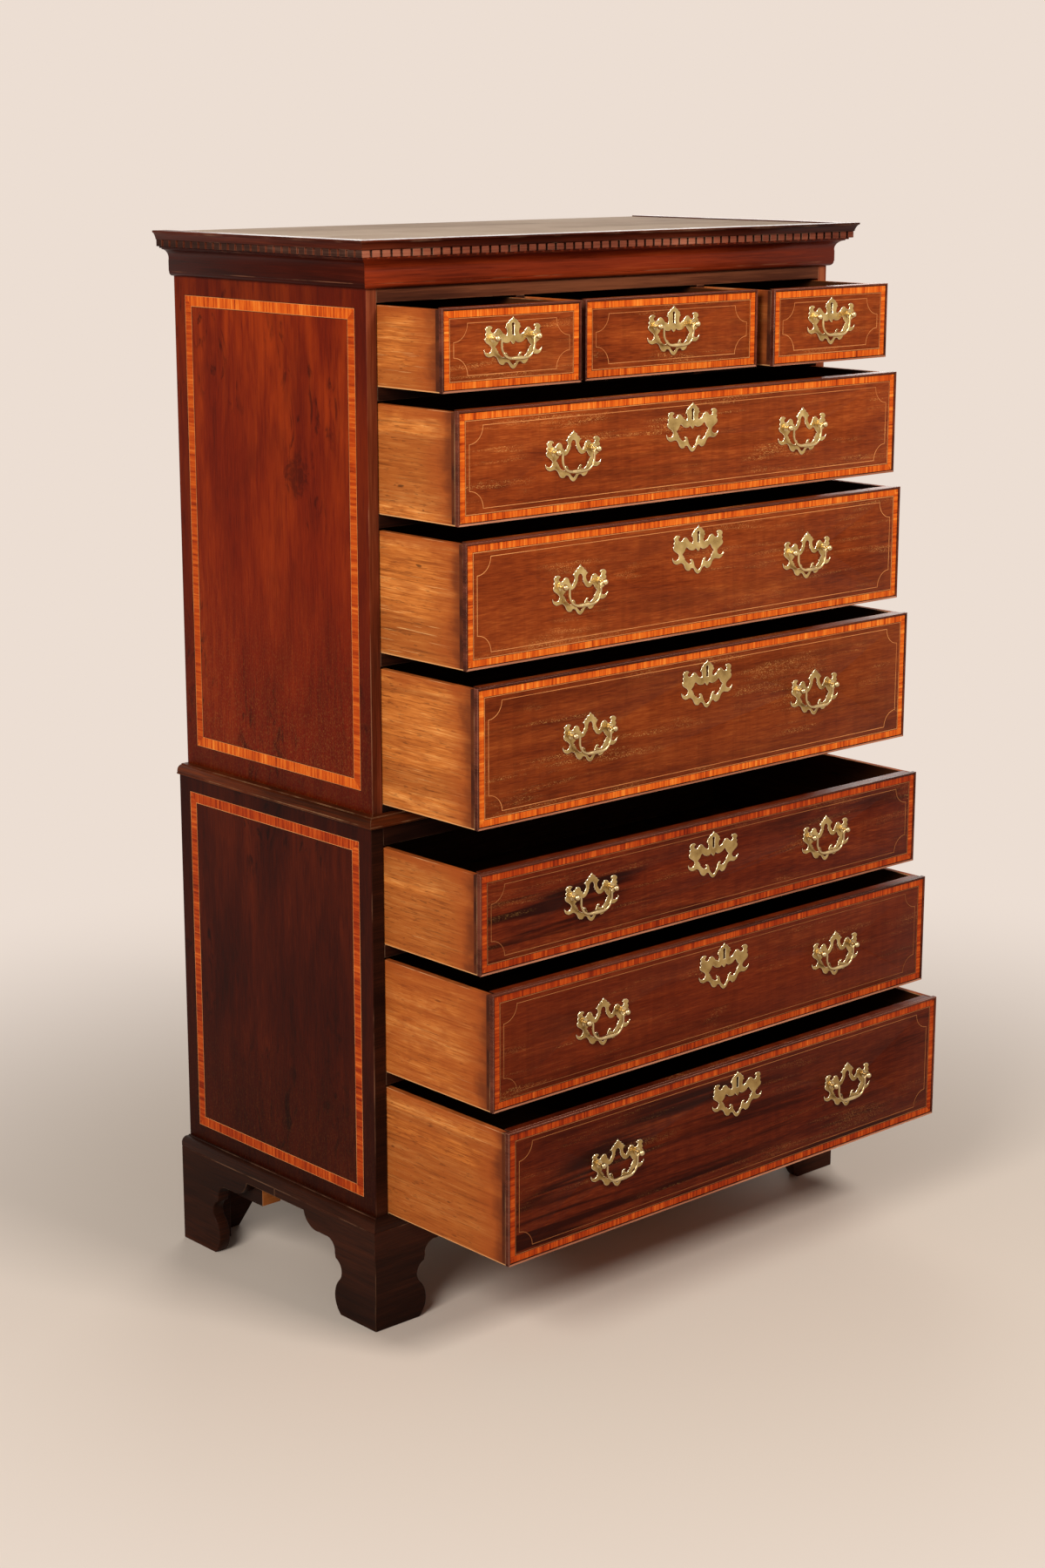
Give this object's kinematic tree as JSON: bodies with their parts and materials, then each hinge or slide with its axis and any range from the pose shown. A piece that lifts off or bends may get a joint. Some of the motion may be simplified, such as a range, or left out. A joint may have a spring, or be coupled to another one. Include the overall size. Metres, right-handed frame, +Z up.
{
  "type": "chest on chest",
  "caption": "Mahogany chest of drawers in two stages on bracket feet, with inlaid drawer fronts, brass bail handles and a dentil cornice; the drawers are partly drawn out.",
  "frame": {"origin": "on the floor under the middle of the whole piece, with its drawers drawn out as at rest", "axes": "+Z up, +X to the right seen from the front, the front faces -Y"},
  "size_m": [1.138, 0.8412, 1.78],
  "materials": {
    "carcase_mahogany": "dark polished mahogany, worn at the edges",
    "upper_side_mahogany": "red-brown polished mahogany, upright grain",
    "lower_side_mahogany": "dark polished mahogany, upright grain",
    "front_mahogany": "polished mahogany, level grain",
    "drawer_lining": "unpolished pale secondary wood",
    "secondary_wood": "unpolished softwood",
    "top_board": "dusty unpolished board",
    "brass": "aged brass, rubbed on the high places"
  },
  "bodies": {
    "case": {"front_feet": "carcase_mahogany", "rear_feet": "carcase_mahogany", "base_moulding": "carcase_mahogany", "lower_sides": "lower_side_mahogany", "lower_boards": "secondary_wood", "lower_back_boards": "secondary_wood", "lower_rails": "carcase_mahogany", "lower_dust_frames": "secondary_wood", "waist_moulding": "carcase_mahogany", "upper_sides": "upper_side_mahogany", "upper_boards": "secondary_wood", "upper_back_boards": "secondary_wood", "upper_rails": "carcase_mahogany", "upper_dust_frames": "secondary_wood", "cornice_cove": "carcase_mahogany", "cornice_dentils": "carcase_mahogany", "cornice_crown": "carcase_mahogany", "cornice_top": "top_board"},
    "lower_drawer_3": {"lower_drawer_3_front": "front_mahogany", "lower_drawer_3_box": "drawer_lining", "lower_drawer_3_brasses": "brass"},
    "lower_drawer_3_bail_left": {"lower_drawer_3_bail_left": "brass"},
    "lower_drawer_3_bail_right": {"lower_drawer_3_bail_right": "brass"},
    "lower_drawer_2": {"lower_drawer_2_front": "front_mahogany", "lower_drawer_2_box": "drawer_lining", "lower_drawer_2_brasses": "brass"},
    "lower_drawer_2_bail_left": {"lower_drawer_2_bail_left": "brass"},
    "lower_drawer_2_bail_right": {"lower_drawer_2_bail_right": "brass"},
    "lower_drawer_1": {"lower_drawer_1_front": "front_mahogany", "lower_drawer_1_box": "drawer_lining", "lower_drawer_1_brasses": "brass"},
    "lower_drawer_1_bail_left": {"lower_drawer_1_bail_left": "brass"},
    "lower_drawer_1_bail_right": {"lower_drawer_1_bail_right": "brass"},
    "upper_drawer_3": {"upper_drawer_3_front": "front_mahogany", "upper_drawer_3_box": "drawer_lining", "upper_drawer_3_brasses": "brass"},
    "upper_drawer_3_bail_left": {"upper_drawer_3_bail_left": "brass"},
    "upper_drawer_3_bail_right": {"upper_drawer_3_bail_right": "brass"},
    "upper_drawer_2": {"upper_drawer_2_front": "front_mahogany", "upper_drawer_2_box": "drawer_lining", "upper_drawer_2_brasses": "brass"},
    "upper_drawer_2_bail_left": {"upper_drawer_2_bail_left": "brass"},
    "upper_drawer_2_bail_right": {"upper_drawer_2_bail_right": "brass"},
    "upper_drawer_1": {"upper_drawer_1_front": "front_mahogany", "upper_drawer_1_box": "drawer_lining", "upper_drawer_1_brasses": "brass"},
    "upper_drawer_1_bail_left": {"upper_drawer_1_bail_left": "brass"},
    "upper_drawer_1_bail_right": {"upper_drawer_1_bail_right": "brass"},
    "small_drawer_left": {"small_drawer_left_front": "front_mahogany", "small_drawer_left_box": "drawer_lining", "small_drawer_left_brasses": "brass"},
    "small_drawer_left_bail": {"small_drawer_left_bail": "brass"},
    "small_drawer_middle": {"small_drawer_middle_front": "front_mahogany", "small_drawer_middle_box": "drawer_lining", "small_drawer_middle_brasses": "brass"},
    "small_drawer_middle_bail": {"small_drawer_middle_bail": "brass"},
    "small_drawer_right": {"small_drawer_right_front": "front_mahogany", "small_drawer_right_box": "drawer_lining", "small_drawer_right_brasses": "brass"},
    "small_drawer_right_bail": {"small_drawer_right_bail": "brass"}
  },
  "joints": [
    {"name": "lower_drawer_3_slide", "type": "slide", "parent": "case", "child": "lower_drawer_3", "axis": [0, -1, 0], "range_m": [-0.297, 0.103]},
    {"name": "lower_drawer_3_bail_left_hinge", "type": "hinge", "parent": "lower_drawer_3", "child": "lower_drawer_3_bail_left", "pos_m": [-0.281, -0.4154, 0.3159], "axis": [-1, 0, 0], "range_deg": [-13, 192]},
    {"name": "lower_drawer_3_bail_right_hinge", "type": "hinge", "parent": "lower_drawer_3", "child": "lower_drawer_3_bail_right", "pos_m": [0.281, -0.4154, 0.3159], "axis": [-1, 0, 0], "range_deg": [-13, 192]},
    {"name": "lower_drawer_2_slide", "type": "slide", "parent": "case", "child": "lower_drawer_2", "axis": [0, -1, 0], "range_m": [-0.261, 0.139]},
    {"name": "lower_drawer_2_bail_left_hinge", "type": "hinge", "parent": "lower_drawer_2", "child": "lower_drawer_2_bail_left", "pos_m": [-0.281, -0.3794, 0.5484], "axis": [-1, 0, 0], "range_deg": [-13, 192]},
    {"name": "lower_drawer_2_bail_right_hinge", "type": "hinge", "parent": "lower_drawer_2", "child": "lower_drawer_2_bail_right", "pos_m": [0.281, -0.3794, 0.5484], "axis": [-1, 0, 0], "range_deg": [-13, 192]},
    {"name": "lower_drawer_1_slide", "type": "slide", "parent": "case", "child": "lower_drawer_1", "axis": [0, -1, 0], "range_m": [-0.232, 0.168]},
    {"name": "lower_drawer_1_bail_left_hinge", "type": "hinge", "parent": "lower_drawer_1", "child": "lower_drawer_1_bail_left", "pos_m": [-0.281, -0.3504, 0.7514], "axis": [-1, 0, 0], "range_deg": [-13, 192]},
    {"name": "lower_drawer_1_bail_right_hinge", "type": "hinge", "parent": "lower_drawer_1", "child": "lower_drawer_1_bail_right", "pos_m": [0.281, -0.3504, 0.7514], "axis": [-1, 0, 0], "range_deg": [-13, 192]},
    {"name": "upper_drawer_3_slide", "type": "slide", "parent": "case", "child": "upper_drawer_3", "axis": [0, -1, 0], "range_m": [-0.229, 0.153]},
    {"name": "upper_drawer_3_bail_left_hinge", "type": "hinge", "parent": "upper_drawer_3", "child": "upper_drawer_3_bail_left", "pos_m": [-0.266, -0.3294, 1.0094], "axis": [-1, 0, 0], "range_deg": [-13, 192]},
    {"name": "upper_drawer_3_bail_right_hinge", "type": "hinge", "parent": "upper_drawer_3", "child": "upper_drawer_3_bail_right", "pos_m": [0.266, -0.3294, 1.0094], "axis": [-1, 0, 0], "range_deg": [-13, 192]},
    {"name": "upper_drawer_2_slide", "type": "slide", "parent": "case", "child": "upper_drawer_2", "axis": [0, -1, 0], "range_m": [-0.204, 0.178]},
    {"name": "upper_drawer_2_bail_left_hinge", "type": "hinge", "parent": "upper_drawer_2", "child": "upper_drawer_2_bail_left", "pos_m": [-0.266, -0.3044, 1.2439], "axis": [-1, 0, 0], "range_deg": [-13, 192]},
    {"name": "upper_drawer_2_bail_right_hinge", "type": "hinge", "parent": "upper_drawer_2", "child": "upper_drawer_2_bail_right", "pos_m": [0.266, -0.3044, 1.2439], "axis": [-1, 0, 0], "range_deg": [-13, 192]},
    {"name": "upper_drawer_1_slide", "type": "slide", "parent": "case", "child": "upper_drawer_1", "axis": [0, -1, 0], "range_m": [-0.187, 0.195]},
    {"name": "upper_drawer_1_bail_left_hinge", "type": "hinge", "parent": "upper_drawer_1", "child": "upper_drawer_1_bail_left", "pos_m": [-0.266, -0.2874, 1.4539], "axis": [-1, 0, 0], "range_deg": [-13, 192]},
    {"name": "upper_drawer_1_bail_right_hinge", "type": "hinge", "parent": "upper_drawer_1", "child": "upper_drawer_1_bail_right", "pos_m": [0.266, -0.2874, 1.4539], "axis": [-1, 0, 0], "range_deg": [-13, 192]},
    {"name": "small_drawer_left_slide", "type": "slide", "parent": "case", "child": "small_drawer_left", "axis": [0, -1, 0], "range_m": [-0.152, 0.23]},
    {"name": "small_drawer_left_bail_hinge", "type": "hinge", "parent": "small_drawer_left", "child": "small_drawer_left_bail", "pos_m": [-0.3615, -0.2524, 1.6329], "axis": [-1, 0, 0], "range_deg": [-13, 192]},
    {"name": "small_drawer_middle_slide", "type": "slide", "parent": "case", "child": "small_drawer_middle", "axis": [0, -1, 0], "range_m": [-0.141, 0.241]},
    {"name": "small_drawer_middle_bail_hinge", "type": "hinge", "parent": "small_drawer_middle", "child": "small_drawer_middle_bail", "pos_m": [0, -0.2414, 1.6329], "axis": [-1, 0, 0], "range_deg": [-13, 192]},
    {"name": "small_drawer_right_slide", "type": "slide", "parent": "case", "child": "small_drawer_right", "axis": [0, -1, 0], "range_m": [-0.161, 0.221]},
    {"name": "small_drawer_right_bail_hinge", "type": "hinge", "parent": "small_drawer_right", "child": "small_drawer_right_bail", "pos_m": [0.3615, -0.2614, 1.6329], "axis": [-1, 0, 0], "range_deg": [-13, 192]}
  ]
}
